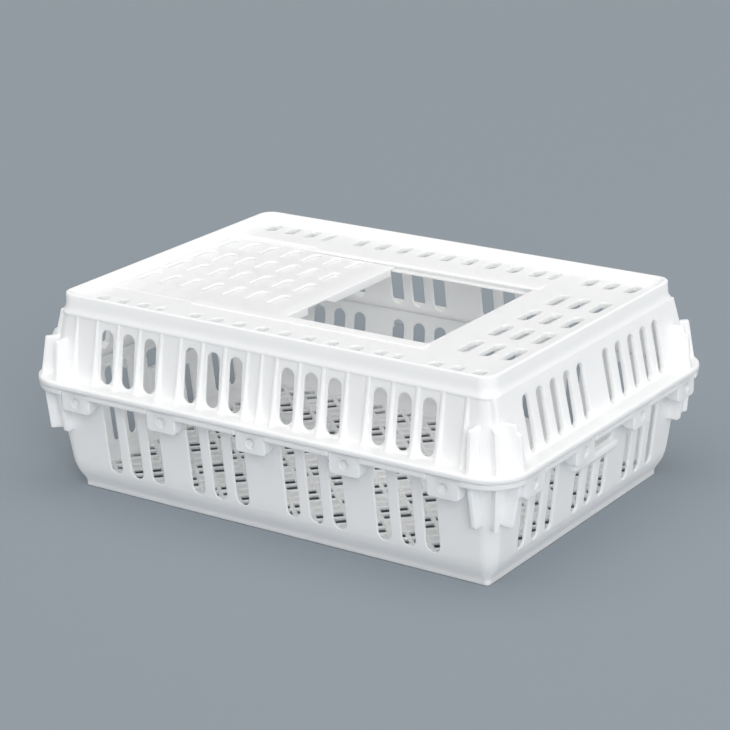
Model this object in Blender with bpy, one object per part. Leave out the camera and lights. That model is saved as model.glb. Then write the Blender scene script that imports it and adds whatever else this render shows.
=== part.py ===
"""Poultry transport crate.

A slatted tray and a slatted cover meet at a wide rim and are held together by
hollow pins, which pass through lugs on the tray and tongues on the cover. A
door slides in the top of the cover. Metres, +Z up, origin at the middle of
the footprint, +X along the length towards the grille end of the top.
"""

import math

import bmesh
import bpy
from mathutils import Matrix, Vector

# Overall sizes: half length along X and half width along Y.
RIM_HALF = Vector((0.3750, 0.2695))
TOP_HALF = Vector((0.3312, 0.2316))
STEP_HALF = Vector((0.3355, 0.2355))
COVER_WALL_TOP = Vector((0.3340, 0.2342))
COVER_WALL_FOOT = Vector((0.3500, 0.2458))
TRAY_WALL_TOP = Vector((0.3465, 0.2455))
TRAY_WALL_LOW = Vector((0.3330, 0.2320))
FOOT_HALF = Vector((0.3186, 0.2175))

# Heights.
FLOOR_UNDER_Z = 0.0110
FOOT_Z = 0.0140
FLOOR_Z = 0.0145
TRAY_LOW_Z = 0.0360
TRAY_SKIRT_Z = 0.1457
TRAY_RIM_Z = 0.1537
COVER_SKIRT_Z = 0.1540
COVER_RIM_Z = 0.1620
STEP_LOW_Z = 0.2465
STEP_HIGH_Z = 0.2555
PANEL_Z = 0.2620
TOP_Z = 0.2745

# Thicknesses and corner radii.
WALL = 0.0028
PANEL = 0.0030
RIM_PLATE = 0.0040
LIP = 0.0058
FOOT_RIM = 0.0040
RIM_RADIUS = 0.0560
WALL_RADIUS = 0.0220
TOP_RADIUS = 0.0200
FOOT_RADIUS = 0.0060
CORNER_STEPS = 4
CLEARANCE = 0.0003

# Upright slots in the walls, in groups spread along each wall.
LONG_GROUPS = (-0.2135, -0.0755, 0.0755, 0.2135)
LONG_PITCH = 0.0355
COVER_END_GROUPS = (-0.0989, 0.0989)
TRAY_END_GROUPS = (-0.1320, 0.0, 0.1320)
END_PITCH = 0.0330
LONG_SLOT = 0.0200
END_SLOT = 0.0172
COVER_SLOT_Z = (0.1645, 0.2370)
TRAY_SLOT_Z = (0.0340, 0.1400)
UNDER_GRIP_SLOT_TOP = 0.0950
SLOT_CUT_MIDDLE = Vector((0.3400, 0.2400))
SLOT_CUT_DEPTH = 0.0500

# Ribs on the cover's walls.
RIB_WIDTH = 0.0040
LONG_RIB_DEPTH = 0.0068
END_RIB_DEPTH = 0.0036
LONG_END_RIB = 0.3010

# Thin corner fins: their places along each wall, then how far out they reach at
# their lower and upper ends along the short walls (X) and the long walls (Y).
LONG_FINS = (-0.3185, 0.3185)
END_FINS = (-0.2200, 0.2090)
COVER_FIN_WIDTH = 0.0060
COVER_FIN_Z = (0.1610, 0.2160)
COVER_FIN_LOW = Vector((0.3712, 0.2649))
COVER_FIN_HIGH = Vector((0.3620, 0.2586))
TRAY_FIN_WIDTH = 0.0070
TRAY_FIN_Z = (0.0880, 0.1517)
TRAY_FIN_LOW = Vector((0.3560, 0.2505))
TRAY_FIN_HIGH = Vector((0.3665, 0.2610))

# Diagonal fins: (inner, outer) distances from their corner centres.
DIAGONAL_CENTRE = Vector((0.3170, 0.2155))
DIAGONAL_WIDTH = 0.0058
COVER_DIAGONAL_Z = (0.1612, 0.2153)
COVER_DIAGONAL_LOW = (0.0340, 0.0522)
COVER_DIAGONAL_HIGH = (0.0224, 0.0434)
TRAY_DIAGONAL_Z = (0.0870, 0.1523)
TRAY_DIAGONAL_LOW = (0.0214, 0.0434)
TRAY_DIAGONAL_HIGH = (0.0313, 0.0500)

# Lugs, tongues and pins round the rim.
LONG_LUGS = (-0.2850, -0.1425, 0.0, 0.1425, 0.2850)
END_LUGS = (-0.1960, -0.0740, 0.0740, 0.1960)
LUG_WIDTH = 0.0460
LUG_INSET = 0.0028
LUG_PLATE = 0.0030
LUG_LOW_Z = 0.1245
NOTCH_DEPTH = 0.0046
NOTCH_Z = (0.1400, 0.1600)
CHEEK = 0.0025
TONGUE = 0.0028
TONGUE_WIDTH = 0.0220
TONGUE_LOW_Z = 0.1280
TONGUE_SLIT_Z = (0.1480, 0.1560)
PIN_Z = 0.1390
PIN_HEAD_RADIUS = 0.0060
PIN_SHANK_RADIUS = 0.0040
PIN_BORE_RADIUS = 0.0024
PIN_HEAD = 0.0023
PIN_TAIL = 0.0030
PIN_SIDES = 8

# Hand holes in the tray's short walls.
GRIP_HALF_WIDTH = 0.0500
GRIP_Z = (0.1100, 0.1370)
GRIP_CUT_X = (0.3200, 0.3600)
GRIP_BAR_HALF = 0.0560
GRIP_BAR_Z = (0.0985, 0.1096)
GRIP_BAR_DEPTH = 0.0075

# Top panel: edge slots in a front and a back row, and a grille at each end.
EDGE_ROW_Y = 0.1950
EDGE_SLOT = (0.0160, 0.0320)
EDGE_SLOT_NARROW = 0.0110
GRILLE_X = 0.2595
GRILLE_Y = -0.0020
GRILLE_PITCH = (0.0312, 0.0718)
GRILLE_SLOT = (0.0155, 0.0480)
GRILLE_COUNT = (3, 4)

# Hatch and door. The door slides along X in a channel under the panel.
HATCH_X = (-0.0600, 0.1780)
HATCH_HALF_WIDTH = 0.1310
LEDGE_HALF_WIDTH = 0.1290
CHANNEL_HALF_WIDTH = 0.1372
CHANNEL_FLOOR_Z = 0.2546
BAY_X = (-0.3220, -0.1780)
BAY_HALF_WIDTH = 0.1450
DOOR_X = (-0.3214, -0.0440)
DOOR_HALF_WIDTH = 0.1365
DOOR_Z = (0.2549, 0.2585)
DOOR_SLOTS = (7, 4)
DOOR_PITCH = (0.0360, 0.0593)
DOOR_SLOT = (0.0155, 0.0430)
DOOR_SLOT_CENTRE = (-0.2010, 0.0190)
DOOR_LIP = 0.0030
DOOR_LIP_Z = 0.2455
DOOR_LIPS_Y = ((-0.1240, -0.0720), (-0.0320, 0.1240))

# Floor grid: the count, pitch and size of its square holes.
FLOOR_HOLES = (12, 8)
FLOOR_PITCH = 0.0510
FLOOR_HOLE = 0.0410

WHITE = (0.90, 0.905, 0.90, 1.0)
DOOR_WHITE = (0.92, 0.92, 0.91, 1.0)
PIN_WHITE = (0.86, 0.865, 0.86, 1.0)


def clear_scene():
    for item in list(bpy.data.objects):
        bpy.data.objects.remove(item, do_unlink=True)


def new_collection(name):
    collection = bpy.data.collections.new(name)
    bpy.context.scene.collection.children.link(collection)
    return collection


def plastic(name, colour, roughness):
    material = bpy.data.materials.new(name)
    material.use_nodes = True
    shader = material.node_tree.nodes["Principled BSDF"]
    shader.inputs["Base Color"].default_value = colour
    shader.inputs["Roughness"].default_value = roughness
    shader.inputs["Metallic"].default_value = 0.0
    return material


def add_object(name, bm, collection, material=None):
    bmesh.ops.recalc_face_normals(bm, faces=bm.faces)
    mesh = bpy.data.meshes.new(name)
    bm.to_mesh(mesh)
    bm.free()
    item = bpy.data.objects.new(name, mesh)
    collection.objects.link(item)
    if material:
        mesh.materials.append(material)
    return item


def add_tool(name, bm):
    """A cutter or a group of fittings: it shapes a part and isn't one."""
    item = add_object(name, bm, TOOLS)
    item.display_type = "WIRE"
    item.hide_render = True
    return item


def combine(target, tool, operation):
    modifier = target.modifiers.new(tool.name, "BOOLEAN")
    modifier.operation = operation
    modifier.solver = "EXACT"
    modifier.object = tool


def ring(bm, half, radius, z):
    """One rounded rectangle of vertices, anticlockwise from the +X, -Y corner."""
    verts = []
    centres = ((1, -1, -90), (1, 1, 0), (-1, 1, 90), (-1, -1, 180))
    for side_x, side_y, start in centres:
        for step in range(CORNER_STEPS + 1):
            angle = math.radians(start + 90.0 * step / CORNER_STEPS)
            x = side_x * (half[0] - radius) + radius * math.cos(angle)
            y = side_y * (half[1] - radius) + radius * math.sin(angle)
            verts.append(bm.verts.new((x, y, z)))
    return verts


def loft(bm, sections):
    """A closed solid through the sections, capped at its first and last one."""
    rings = [ring(bm, half, radius, z) for half, radius, z in sections]
    count = len(rings[0])
    for lower, upper in zip(rings, rings[1:]):
        for i in range(count):
            j = (i + 1) % count
            bm.faces.new((lower[i], lower[j], upper[j], upper[i]))
    bm.faces.new(rings[0])
    bm.faces.new(rings[-1])


def grown(half, amount):
    return Vector((half[0] + amount, half[1] + amount))


def add_box(bm, low, high, turn=0.0):
    """A box between two corners, turned about the Z axis at the origin."""
    size = [b - a for a, b in zip(low, high)]
    middle = Vector([(a + b) / 2 for a, b in zip(low, high)])
    place = Matrix.Rotation(turn, 4, "Z") @ Matrix.Translation(middle)
    scale = Matrix.Diagonal((*size, 1.0))
    return bmesh.ops.create_cube(bm, size=1.0, matrix=place @ scale)["verts"]


def add_wedge(bm, depth_low, depth_high, across, heights, turn):
    """A block between two heights whose depth range differs at each height.

    Depth is along local +X and across along local Y, before the turn.
    """
    verts = add_box(bm, (0, across[0], heights[0]), (1, across[1], heights[1]))
    for vert in verts:
        depth = depth_low if vert.co.z < sum(heights) / 2 else depth_high
        vert.co.x = depth[1] if vert.co.x > 0.5 else depth[0]
    bmesh.ops.rotate(bm, verts=verts, matrix=Matrix.Rotation(turn, 3, "Z"))
    return verts


def add_slot(bm, centre, size, axis):
    """A straight slot with chamfered ends, cut along an axis.

    Size is (width, length, depth); length runs along Z in a wall and along Y
    in the panel.
    """
    width, length, depth = size
    corner = width * 0.29
    w = width / 2
    n = length / 2
    outline = [
        (w, corner - n), (w, n - corner), (w - corner, n), (corner - w, n),
        (-w, n - corner), (-w, corner - n), (corner - w, -n), (w - corner, -n),
    ]
    spin = {"X": Matrix.Rotation(math.pi / 2, 4, "Z"), "Y": Matrix.Identity(4)}
    if axis == "Z":
        place = Matrix.Identity(4)
        lift = Vector((0, 0, 1))
        flat = [Vector((a, b, 0)) for a, b in outline]
    else:
        place = spin[axis]
        lift = Vector((0, 1, 0))
        flat = [Vector((a, 0, b)) for a, b in outline]
    move = Matrix.Translation(centre) @ place
    near = [bm.verts.new(move @ (p - lift * depth / 2)) for p in flat]
    far = [bm.verts.new(move @ (p + lift * depth / 2)) for p in flat]
    bm.faces.new(near)
    bm.faces.new(far)
    for i in range(len(flat)):
        j = (i + 1) % len(flat)
        bm.faces.new((near[i], near[j], far[j], far[i]))


def prism(bm, outline, z_low, z_high):
    """A flat outline raised from one height to another."""
    base = bm.faces.new([bm.verts.new((x, y, z_low)) for x, y in outline])
    raised = bmesh.ops.extrude_face_region(bm, geom=[base])["geom"]
    verts = [item for item in raised if isinstance(item, bmesh.types.BMVert)]
    bmesh.ops.translate(bm, verts=verts, vec=(0, 0, z_high - z_low))


def spread(centre, count, pitch):
    return [centre + (i - (count - 1) / 2) * pitch for i in range(count)]


def cover_wall(z):
    """Half sizes of the cover wall's outer face at a height."""
    share = (z - COVER_RIM_Z) / (STEP_LOW_Z - COVER_RIM_Z)
    return COVER_WALL_FOOT.lerp(COVER_WALL_TOP, share)


def tray_wall(z):
    """Half sizes of the tray wall's outer face at a height."""
    share = (z - TRAY_LOW_Z) / (TRAY_RIM_Z - TRAY_LOW_Z)
    return TRAY_WALL_LOW.lerp(TRAY_WALL_TOP, share)


def sides():
    """Each wall as its turn about Z, its axis index and its lug positions."""
    return (
        ("front", -math.pi / 2, 1, LONG_LUGS),
        ("right", 0.0, 0, END_LUGS),
        ("back", math.pi / 2, 1, LONG_LUGS),
        ("left", math.pi, 0, END_LUGS),
    )


def long_rib_positions():
    ribs = [0.0, -LONG_END_RIB, LONG_END_RIB]
    for group in LONG_GROUPS:
        ribs += spread(group, 4, LONG_PITCH)
    return ribs


def end_rib_positions():
    ribs = [0.0]
    for group in COVER_END_GROUPS:
        ribs += spread(group, 6, END_PITCH)
    return ribs


def wall_slots(bm, long_groups, end_groups, end_count, heights, middle_top=None):
    """Cut both pairs of walls, end groups with end_count slots each."""
    length = heights[1] - heights[0]
    middle = (heights[0] + heights[1]) / 2
    for group in long_groups:
        for x in spread(group, 3, LONG_PITCH):
            for side in (-1, 1):
                place = Vector((x, side * SLOT_CUT_MIDDLE.y, middle))
                add_slot(bm, place, (LONG_SLOT, length, SLOT_CUT_DEPTH), "Y")
    for group in end_groups:
        for y in spread(group, end_count, END_PITCH):
            top = heights[1]
            if middle_top and group == 0.0:
                top = middle_top
            for side in (-1, 1):
                place = Vector((side * SLOT_CUT_MIDDLE.x, y, (heights[0] + top) / 2))
                add_slot(bm, place, (END_SLOT, top - heights[0], SLOT_CUT_DEPTH), "X")


def plate_fins(bm, wall, width, heights, reach_low, reach_high):
    """A thin fin near both ends of each wall, reaching out from the wall."""
    for _, turn, axis, _ in sides():
        low = (wall(heights[0])[axis] - WALL * 0.9, reach_low[axis])
        high = (wall(heights[1])[axis] - WALL * 0.9, reach_high[axis])
        for place in LONG_FINS if axis == 1 else END_FINS:
            across = (place - width / 2, place + width / 2)
            add_wedge(bm, low, high, across, heights, turn)


def diagonal_fins(name, low, high, heights):
    """One fin on each corner's diagonal.

    Low and high are the fin's (inner, outer) distances from its corner
    centre, at its lower and upper ends.
    """
    bm = bmesh.new()
    half = DIAGONAL_WIDTH / 2
    for side_x, side_y in ((1, 1), (-1, 1), (-1, -1), (1, -1)):
        turn = math.atan2(side_y, side_x)
        verts = add_wedge(bm, low, high, (-half, half), heights, turn)
        centre = Vector((side_x * DIAGONAL_CENTRE.x, side_y * DIAGONAL_CENTRE.y, 0))
        bmesh.ops.translate(bm, verts=verts, vec=centre)
    return add_tool(name, bm)


def cover_shell():
    inner_foot = grown(COVER_WALL_FOOT, -WALL)
    inner_top = grown(COVER_WALL_TOP, -WALL)
    skirt = grown(RIM_HALF, -0.0030)
    channel = grown(COVER_WALL_FOOT, 0.0020)
    roof = COVER_RIM_Z - RIM_PLATE
    sections = [
        (grown(TOP_HALF, -LIP), TOP_RADIUS - LIP, PANEL_Z),
        (grown(TOP_HALF, -LIP), TOP_RADIUS - LIP, TOP_Z),
        (TOP_HALF, TOP_RADIUS, TOP_Z),
        (grown(TOP_HALF, 0.0004), TOP_RADIUS, STEP_HIGH_Z),
        (STEP_HALF, TOP_RADIUS, STEP_LOW_Z + 0.0035),
        (STEP_HALF, TOP_RADIUS, STEP_LOW_Z + 0.0005),
        (COVER_WALL_TOP, TOP_RADIUS, STEP_LOW_Z),
        (COVER_WALL_FOOT, WALL_RADIUS, COVER_RIM_Z),
        (grown(RIM_HALF, -0.0015), RIM_RADIUS, COVER_RIM_Z),
        (RIM_HALF, RIM_RADIUS, COVER_RIM_Z - 0.0015),
        (RIM_HALF, RIM_RADIUS, COVER_SKIRT_Z),
        (skirt, RIM_RADIUS, COVER_SKIRT_Z),
        (skirt, RIM_RADIUS, roof),
        (channel, WALL_RADIUS, roof),
        (channel, WALL_RADIUS, COVER_SKIRT_Z),
        (inner_foot, WALL_RADIUS - WALL, COVER_SKIRT_Z),
        (inner_top, TOP_RADIUS - WALL, STEP_LOW_Z),
        (grown(TOP_HALF, -LIP), TOP_RADIUS - LIP, PANEL_Z - PANEL),
    ]
    bm = bmesh.new()
    loft(bm, sections)
    return bm


def tray_shell():
    foot_inner = grown(FOOT_HALF, -FOOT_RIM)
    skirt = grown(RIM_HALF, -0.0040)
    lower = RIM_HALF - Vector((0.0008, 0.0008))
    under = TRAY_RIM_Z - RIM_PLATE
    bend = FOOT_HALF.lerp(TRAY_WALL_LOW, 0.80)
    sill = FOOT_HALF.lerp(TRAY_WALL_LOW, 0.42)
    sections = [
        (foot_inner, FOOT_RADIUS - 0.0030, FLOOR_UNDER_Z),
        (foot_inner, FOOT_RADIUS - 0.0030, 0.0),
        (FOOT_HALF, FOOT_RADIUS, 0.0),
        (FOOT_HALF, FOOT_RADIUS, FOOT_Z),
        (sill, TOP_RADIUS, FOOT_Z + 0.0025),
        (bend, TOP_RADIUS, FOOT_Z + 0.0130),
        (TRAY_WALL_LOW, TOP_RADIUS, TRAY_LOW_Z),
        (tray_wall(under), WALL_RADIUS, under),
        (skirt, RIM_RADIUS, under),
        (skirt, RIM_RADIUS, TRAY_SKIRT_Z),
        (lower, RIM_RADIUS, TRAY_SKIRT_Z),
        (lower, RIM_RADIUS, TRAY_RIM_Z),
        (grown(TRAY_WALL_TOP, -WALL), WALL_RADIUS - WALL, TRAY_RIM_Z),
        (grown(TRAY_WALL_LOW, -WALL), TOP_RADIUS - WALL, TRAY_LOW_Z),
        (grown(bend, -WALL), TOP_RADIUS - WALL, FOOT_Z + 0.0135),
        (grown(sill, -WALL), TOP_RADIUS - WALL, FLOOR_Z),
    ]
    bm = bmesh.new()
    loft(bm, sections)
    return bm


def edge_slot_positions():
    """(x, width) of the slots along the front and back edges of the top."""
    wide = EDGE_SLOT[0]
    slots = [(x, wide) for x in spread(-0.2595, 3, 0.0335)]
    slots += [(-0.1965, EDGE_SLOT_NARROW)]
    slots += [(x, wide) for x in spread(0.0030, 9, 0.0360)]
    slots += [(0.1725, EDGE_SLOT_NARROW)]
    slots += [(x, wide) for x in spread(0.2585, 3, 0.0315)]
    return slots


def bay_outline(extra):
    """Outline of the door's channel and the wider bay at its open end."""
    right = HATCH_X[1] + 0.0006 + extra
    left = BAY_X[0] - extra
    corner = BAY_X[1] + extra
    wide = BAY_HALF_WIDTH + extra
    narrow = CHANNEL_HALF_WIDTH + extra
    half = [(left, wide), (corner, wide), (corner, narrow), (right, narrow)]
    return [(x, -y) for x, y in half] + [(x, y) for x, y in reversed(half)]


def grille_slots(bm, side, z):
    for x in spread(side * GRILLE_X, GRILLE_COUNT[0], GRILLE_PITCH[0]):
        for y in spread(GRILLE_Y, GRILLE_COUNT[1], GRILLE_PITCH[1]):
            add_slot(bm, Vector((x, y, z)), (*GRILLE_SLOT, 0.0200), "Z")


def panel_cuts():
    bm = bmesh.new()
    wall_slots(bm, LONG_GROUPS, COVER_END_GROUPS, 5, COVER_SLOT_Z)
    for x, width in edge_slot_positions():
        for side in (-1, 1):
            place = Vector((x, side * EDGE_ROW_Y, PANEL_Z))
            add_slot(bm, place, (width, EDGE_SLOT[1], 0.0120), "Z")
    grille_slots(bm, 1, PANEL_Z)
    outline = [
        (BAY_X[0], BAY_HALF_WIDTH), (BAY_X[1], BAY_HALF_WIDTH),
        (BAY_X[1], HATCH_HALF_WIDTH), (HATCH_X[1], HATCH_HALF_WIDTH),
    ]
    outline = [(x, -y) for x, y in outline] + [(x, y) for x, y in reversed(outline)]
    prism(bm, outline, PANEL_Z - 0.0080, PANEL_Z + 0.0060)
    return bm


def door_channel():
    """The channel that the door slides in, hung under the panel."""
    bm = bmesh.new()
    floor = 0.0030
    prism(bm, bay_outline(0.0030), CHANNEL_FLOOR_Z - floor, PANEL_Z - 0.0015)
    channel = add_tool("door_channel", bm)
    bm = bmesh.new()
    prism(bm, bay_outline(0.0), CHANNEL_FLOOR_Z, PANEL_Z + 0.0050)
    combine(channel, add_tool("channel_space", bm), "DIFFERENCE")
    bm = bmesh.new()
    low = (HATCH_X[0], -LEDGE_HALF_WIDTH, CHANNEL_FLOOR_Z - 0.0100)
    high = (HATCH_X[1], LEDGE_HALF_WIDTH, CHANNEL_FLOOR_Z + 0.0020)
    add_box(bm, low, high)
    grille_slots(bm, -1, CHANNEL_FLOOR_Z)
    combine(channel, add_tool("channel_cuts", bm), "DIFFERENCE")
    return channel


def cover_fittings():
    bm = bmesh.new()
    foot_z = COVER_RIM_Z - 0.0012
    head_z = STEP_LOW_Z + 0.0018
    foot = cover_wall(foot_z)
    head = cover_wall(head_z)
    for _, turn, axis, lugs in sides():
        ribs = long_rib_positions() if axis == 1 else end_rib_positions()
        rib_depth = LONG_RIB_DEPTH if axis == 1 else END_RIB_DEPTH
        low = (foot[axis] - WALL * 0.6, foot[axis] + rib_depth)
        high = (head[axis] - WALL * 0.4, STEP_HALF[axis] - 0.0006)
        for place in ribs:
            across = (place - RIB_WIDTH / 2, place + RIB_WIDTH / 2)
            add_wedge(bm, low, high, across, (foot_z, head_z), turn)
        back = RIM_HALF[axis] - LUG_INSET - LUG_PLATE - CLEARANCE
        depth = (back - TONGUE, back)
        for place in lugs:
            across = (place - TONGUE_WIDTH / 2, place + TONGUE_WIDTH / 2)
            roof = COVER_RIM_Z - RIM_PLATE / 2
            add_wedge(bm, depth, depth, across, (TONGUE_LOW_Z, roof), turn)
    plate_fins(bm, cover_wall, COVER_FIN_WIDTH, COVER_FIN_Z, COVER_FIN_LOW, COVER_FIN_HIGH)
    return bm


def make_cover(collection, material):
    cover = add_object("cover", cover_shell(), collection, material)
    combine(cover, add_tool("cover_cuts", panel_cuts()), "DIFFERENCE")
    combine(cover, add_tool("cover_fittings", cover_fittings()), "UNION")
    diagonals = diagonal_fins("cover_diagonals", COVER_DIAGONAL_LOW, COVER_DIAGONAL_HIGH,
                              COVER_DIAGONAL_Z)
    combine(cover, diagonals, "UNION")
    combine(cover, door_channel(), "UNION")
    bores = pin_holes("tongue_bores", PIN_SHANK_RADIUS + CLEARANCE, 0.0100)
    combine(cover, bores, "DIFFERENCE")
    return cover


def pin_places():
    """(name, middle of the lug plate's outer face, outward turn) of each pin."""
    places = []
    for name, turn, axis, lugs in sides():
        face = RIM_HALF[axis] - LUG_INSET
        for number, along in enumerate(lugs, start=1):
            flat = Vector((face, along, PIN_Z))
            place = Matrix.Rotation(turn, 3, "Z") @ flat
            places.append((f"rim_pin_{name}_{number}", place, turn))
    return places


def pin_holes(name, radius, depth):
    """Round cutters on the pins' axes, reaching inward from the lugs' faces."""
    bm = bmesh.new()
    for _, place, turn in pin_places():
        along = Matrix.Rotation(turn, 4, "Z") @ Matrix.Rotation(math.pi / 2, 4, "Y")
        middle = Matrix.Rotation(turn, 3, "Z") @ Vector((0.0020 - depth / 2, 0, 0))
        matrix = Matrix.Translation(place + middle) @ along
        bmesh.ops.create_cone(bm, cap_ends=True, segments=PIN_SIDES, radius1=radius,
                              radius2=radius, depth=depth + 0.0040, matrix=matrix)
    return add_tool(name, bm)


def tray_cuts():
    bm = bmesh.new()
    groups = TRAY_END_GROUPS
    wall_slots(bm, LONG_GROUPS, groups, 3, TRAY_SLOT_Z, UNDER_GRIP_SLOT_TOP)
    for x in spread(0.0, FLOOR_HOLES[0], FLOOR_PITCH):
        for y in spread(0.0, FLOOR_HOLES[1], FLOOR_PITCH):
            half = FLOOR_HOLE / 2
            low = (x - half, y - half, FLOOR_UNDER_Z - 0.0050)
            add_box(bm, low, (x + half, y + half, FLOOR_Z + 0.0050))
    for turn in (0.0, math.pi):
        across = (-GRIP_HALF_WIDTH, GRIP_HALF_WIDTH)
        add_wedge(bm, GRIP_CUT_X, GRIP_CUT_X, across, GRIP_Z, turn)
    return bm


def rim_notches():
    """Gaps in the tray's rim in front of each lug."""
    bm = bmesh.new()
    for _, turn, axis, lugs in sides():
        depth = (RIM_HALF[axis] - NOTCH_DEPTH, RIM_HALF[axis] + NOTCH_DEPTH)
        for place in lugs:
            half = LUG_WIDTH / 2 + CLEARANCE
            across = (place - half, place + half)
            add_wedge(bm, depth, depth, across, NOTCH_Z, turn)
    return bm


def tray_fittings():
    bm = bmesh.new()
    for _, turn, axis, lugs in sides():
        head_z = TRAY_RIM_Z - 0.0004
        wall = tray_wall(TRAY_RIM_Z - RIM_PLATE)[axis] - WALL * 0.93
        depth = (wall, RIM_HALF[axis] - LUG_INSET)
        for place in lugs:
            across = (place - LUG_WIDTH / 2, place + LUG_WIDTH / 2)
            add_wedge(bm, depth, depth, across, (LUG_LOW_Z, head_z), turn)
    wall = tray_wall(GRIP_BAR_Z[0])[0]
    for turn in (0.0, math.pi):
        depth = (wall - WALL / 2, wall + GRIP_BAR_DEPTH)
        across = (-GRIP_BAR_HALF, GRIP_BAR_HALF)
        add_wedge(bm, depth, depth, across, GRIP_BAR_Z, turn)
    return bm


def tray_fins():
    """The end walls' fins run into the lugs, so they are joined on their own."""
    bm = bmesh.new()
    plate_fins(bm, tray_wall, TRAY_FIN_WIDTH, TRAY_FIN_Z, TRAY_FIN_LOW, TRAY_FIN_HIGH)
    return bm


def lug_pockets():
    """Hollows behind the lug plates, open below."""
    bm = bmesh.new()
    for _, turn, axis, lugs in sides():
        outer = RIM_HALF[axis] - LUG_INSET - LUG_PLATE
        wall = tray_wall(TRAY_RIM_Z - RIM_PLATE)[axis] + 0.0006
        half = LUG_WIDTH / 2 - CHEEK
        for place in lugs:
            across = (place - half, place + half)
            heights = (LUG_LOW_Z - 0.0050, TRAY_RIM_Z - RIM_PLATE)
            add_wedge(bm, (wall, outer), (wall, outer), across, heights, turn)
    return bm


def tongue_slits():
    bm = bmesh.new()
    for _, turn, axis, lugs in sides():
        outer = RIM_HALF[axis] - LUG_INSET - LUG_PLATE
        depth = (outer - TONGUE - 2 * CLEARANCE, outer - CLEARANCE / 2)
        half = TONGUE_WIDTH / 2 + CLEARANCE
        for place in lugs:
            across = (place - half, place + half)
            add_wedge(bm, depth, depth, across, TONGUE_SLIT_Z, turn)
    return bm


def make_tray(collection, material):
    tray = add_object("tray", tray_shell(), collection, material)
    combine(tray, add_tool("tray_cuts", tray_cuts()), "DIFFERENCE")
    combine(tray, add_tool("rim_notches", rim_notches()), "DIFFERENCE")
    combine(tray, add_tool("tray_fittings", tray_fittings()), "UNION")
    combine(tray, add_tool("tray_fins", tray_fins()), "UNION")
    diagonals = diagonal_fins("tray_diagonals", TRAY_DIAGONAL_LOW, TRAY_DIAGONAL_HIGH,
                              TRAY_DIAGONAL_Z)
    combine(tray, diagonals, "UNION")
    combine(tray, add_tool("lug_pockets", lug_pockets()), "DIFFERENCE")
    combine(tray, add_tool("tongue_slits", tongue_slits()), "DIFFERENCE")
    holes = pin_holes("lug_holes", PIN_HEAD_RADIUS + CLEARANCE, 0.0035)
    combine(tray, holes, "DIFFERENCE")
    return tray


def make_door(collection, material):
    """The door's own origin is at its closing edge, on its line of travel."""
    origin = Vector((DOOR_X[1], 0.0, DOOR_Z[0]))
    bm = bmesh.new()
    low = Vector((DOOR_X[0], -DOOR_HALF_WIDTH, DOOR_Z[0])) - origin
    high = Vector((DOOR_X[1], DOOR_HALF_WIDTH, DOOR_Z[1])) - origin
    add_box(bm, low, high)
    door = add_object("hatch_door", bm, collection, material)
    door.location = origin
    bm = bmesh.new()
    for y_low, y_high in DOOR_LIPS_Y:
        low = (DOOR_X[1] - DOOR_LIP, y_low, DOOR_LIP_Z)
        add_box(bm, low, (DOOR_X[1] - 0.0002, y_high, DOOR_Z[0] + 0.0018))
    combine(door, add_tool("door_lips", bm), "UNION")
    bm = bmesh.new()
    for x in spread(DOOR_SLOT_CENTRE[0], DOOR_SLOTS[0], DOOR_PITCH[0]):
        for y in spread(DOOR_SLOT_CENTRE[1], DOOR_SLOTS[1], DOOR_PITCH[1]):
            place = Vector((x, y, DOOR_Z[0]))
            add_slot(bm, place, (*DOOR_SLOT, 0.0200), "Z")
    combine(door, add_tool("door_slots", bm), "DIFFERENCE")
    return door


def pin_mesh():
    """A hollow pin on the X axis: its head's outer face is at x = 0."""
    bm = bmesh.new()
    profile = [
        (-PIN_HEAD, PIN_SHANK_RADIUS), (-PIN_HEAD, PIN_HEAD_RADIUS),
        (0.0, PIN_HEAD_RADIUS), (0.0, PIN_BORE_RADIUS),
        (-LUG_PLATE - TONGUE - PIN_TAIL, PIN_BORE_RADIUS),
        (-LUG_PLATE - TONGUE - PIN_TAIL, PIN_SHANK_RADIUS),
    ]
    verts = [bm.verts.new((x, radius, 0)) for x, radius in profile]
    pairs = zip(verts, verts[1:] + verts[:1])
    edges = [bm.edges.new(pair) for pair in pairs]
    bmesh.ops.spin(bm, geom=verts + edges, cent=(0, 0, 0), axis=(1, 0, 0),
                   angle=2 * math.pi, steps=PIN_SIDES, use_merge=True)
    bmesh.ops.remove_doubles(bm, verts=bm.verts, dist=0.00001)
    bmesh.ops.recalc_face_normals(bm, faces=bm.faces)
    mesh = bpy.data.meshes.new("rim_pin")
    bm.to_mesh(mesh)
    bm.free()
    return mesh


def make_pins(collection, material):
    mesh = pin_mesh()
    mesh.materials.append(material)
    for name, place, turn in pin_places():
        pin = bpy.data.objects.new(name, mesh)
        inward = Matrix.Rotation(turn, 3, "Z") @ Vector((-CLEARANCE, 0, 0))
        pin.location = place + inward
        pin.rotation_euler = (0.0, 0.0, turn)
        collection.objects.link(pin)


clear_scene()
CRATE = new_collection("poultry_transport_crate")
TOOLS = new_collection("cutters_and_fittings")
SHELL_WHITE = plastic("crate_white", WHITE, 0.45)
make_tray(CRATE, SHELL_WHITE)
make_cover(CRATE, SHELL_WHITE)
make_door(CRATE, plastic("door_white", DOOR_WHITE, 0.42))
make_pins(CRATE, plastic("pin_white", PIN_WHITE, 0.40))
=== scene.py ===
"""Looks of the poultry transport crate: fine mouldings, plastic, light and camera.

Sizes are in metres, in the CAD model's frame: origin in the middle of the footprint, +X along
the length towards the open grille, +Y to the back, +Z up.
"""

import math

import bmesh
import bpy
from mathutils import Euler, Matrix, Vector


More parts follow.
